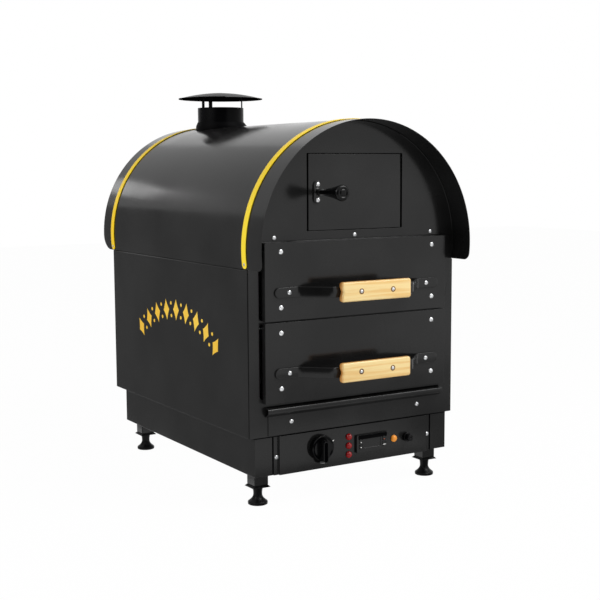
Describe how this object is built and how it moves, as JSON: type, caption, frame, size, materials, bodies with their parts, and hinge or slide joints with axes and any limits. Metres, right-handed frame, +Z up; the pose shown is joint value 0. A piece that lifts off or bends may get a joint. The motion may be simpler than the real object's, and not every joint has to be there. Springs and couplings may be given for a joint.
{
  "type": "potato baking oven",
  "caption": "Black sheet-steel baking oven with barrel roof and chimney, drawers with wooden grips, a small warming-chamber door, a control panel in the plinth and levelling feet.",
  "frame": {"origin": "on the floor under the middle of the overall bounding box", "axes": "+X to the right seen from the front, +Y to the rear, +Z up; the front with the drawers faces -Y"},
  "size_m": [0.4812, 0.7638, 0.8016],
  "materials": {
    "black_powder_coat": "fine-textured satin powder coat",
    "yellow_trim": "satin paint",
    "inner_steel": "satin",
    "wool_blanket": "matt mineral wool",
    "beech": "clear lacquer",
    "black_plastic": "satin to glossy",
    "red_lens": "glossy",
    "amber_lens": "glossy"
  },
  "bodies": {
    "cabinet": {"side_panel_left": "black_powder_coat", "side_panel_right": "black_powder_coat", "rear_panel": "black_powder_coat", "front_frame": "black_powder_coat", "arch_panel": "black_powder_coat", "ledge_fascia": "black_powder_coat", "base_plate": "black_powder_coat", "roof_sheet": "black_powder_coat", "flue_tube": "black_powder_coat", "rain_cap": "black_powder_coat", "plinth_skirt": "black_powder_coat", "control_panel": "black_powder_coat", "leg_front_left": "black_powder_coat", "leg_front_right": "black_powder_coat", "leg_rear_left": "black_powder_coat", "leg_rear_right": "black_powder_coat", "roof_trim_front": "yellow_trim", "roof_trim_rear": "yellow_trim", "oven_liner": "inner_steel", "chamber_liner": "inner_steel", "runner_left": "inner_steel", "runner_right": "inner_steel", "plinth_floor": "inner_steel", "thermostat": "inner_steel", "heating_element_lower": "inner_steel", "heating_element_middle": "inner_steel", "heating_element_upper": "inner_steel", "insulation_jacket": "wool_blanket", "temperature_controller": "black_plastic", "fuse_holder": "black_plastic", "cable_gland": "black_plastic", "leg_collar_front_left": "black_plastic", "leg_collar_front_right": "black_plastic", "leg_collar_rear_left": "black_plastic", "leg_collar_rear_right": "black_plastic", "pilot_lamp_red_1": "red_lens", "pilot_lamp_red_2": "red_lens", "pilot_lamp_red_3": "red_lens", "pilot_lamp_amber": "amber_lens"},
    "drawer_lower": {"drawer_lower_front": "black_powder_coat", "drawer_lower_box": "inner_steel", "drawer_lower_strap": "black_powder_coat", "drawer_lower_grip": "beech"},
    "drawer_upper": {"drawer_upper_front": "black_powder_coat", "drawer_upper_box": "inner_steel", "drawer_upper_strap": "black_powder_coat", "drawer_upper_grip": "beech"},
    "upper_door": {"door_panel": "black_powder_coat", "door_handle_bracket": "black_powder_coat", "door_handle": "black_plastic"},
    "knob": {"control_knob": "black_plastic"},
    "fuse_cap_body": {"fuse_cap": "black_plastic"},
    "key_up": {"controller_key_up": "black_plastic"},
    "key_down": {"controller_key_down": "black_plastic"},
    "key_menu": {"controller_key_menu": "black_plastic"},
    "key_set": {"controller_key_set": "black_plastic"},
    "adjustable_foot_front_left": {"foot_front_left": "black_plastic"},
    "adjustable_foot_front_right": {"foot_front_right": "black_plastic"},
    "adjustable_foot_rear_left": {"foot_rear_left": "black_plastic"},
    "adjustable_foot_rear_right": {"foot_rear_right": "black_plastic"}
  },
  "joints": [
    {"name": "drawer_lower_slide", "type": "slide", "parent": "cabinet", "child": "drawer_lower", "axis": [0, -1, 0], "range_m": [0, 0.4]},
    {"name": "drawer_upper_slide", "type": "slide", "parent": "cabinet", "child": "drawer_upper", "axis": [0, -1, 0], "range_m": [0, 0.4]},
    {"name": "upper_door_hinge", "type": "hinge", "parent": "cabinet", "child": "upper_door", "pos_m": [0.1025, -0.28857, 0.588], "axis": [0, 0, 1], "range_deg": [0, 105]},
    {"name": "control_knob_turn", "type": "hinge", "parent": "cabinet", "child": "knob", "pos_m": [-0.082, -0.29307, 0.102], "axis": [0, 1, 0], "range_deg": [0, 270]},
    {"name": "fuse_cap_turn", "type": "hinge", "parent": "cabinet", "child": "fuse_cap_body", "pos_m": [0.121, -0.30707, 0.097], "axis": [0, -1, 0], "range_deg": [0, 90]},
    {"name": "key_up_press", "type": "slide", "parent": "cabinet", "child": "key_up", "axis": [0, 1, 0], "range_m": [0, 0.0008], "stiffness_N_per_m": 400},
    {"name": "key_down_press", "type": "slide", "parent": "cabinet", "child": "key_down", "axis": [0, 1, 0], "range_m": [0, 0.0008], "stiffness_N_per_m": 400},
    {"name": "key_menu_press", "type": "slide", "parent": "cabinet", "child": "key_menu", "axis": [0, 1, 0], "range_m": [0, 0.0008], "stiffness_N_per_m": 400},
    {"name": "key_set_press", "type": "slide", "parent": "cabinet", "child": "key_set", "axis": [0, 1, 0], "range_m": [0, 0.0008], "stiffness_N_per_m": 400},
    {"name": "foot_front_left_height", "type": "slide", "parent": "cabinet", "child": "adjustable_foot_front_left", "axis": [0, 0, -1], "range_m": [0, 0.015]},
    {"name": "foot_front_right_height", "type": "slide", "parent": "cabinet", "child": "adjustable_foot_front_right", "axis": [0, 0, -1], "range_m": [0, 0.015]},
    {"name": "foot_rear_left_height", "type": "slide", "parent": "cabinet", "child": "adjustable_foot_rear_left", "axis": [0, 0, -1], "range_m": [0, 0.015]},
    {"name": "foot_rear_right_height", "type": "slide", "parent": "cabinet", "child": "adjustable_foot_rear_right", "axis": [0, 0, -1], "range_m": [0, 0.015]}
  ]
}
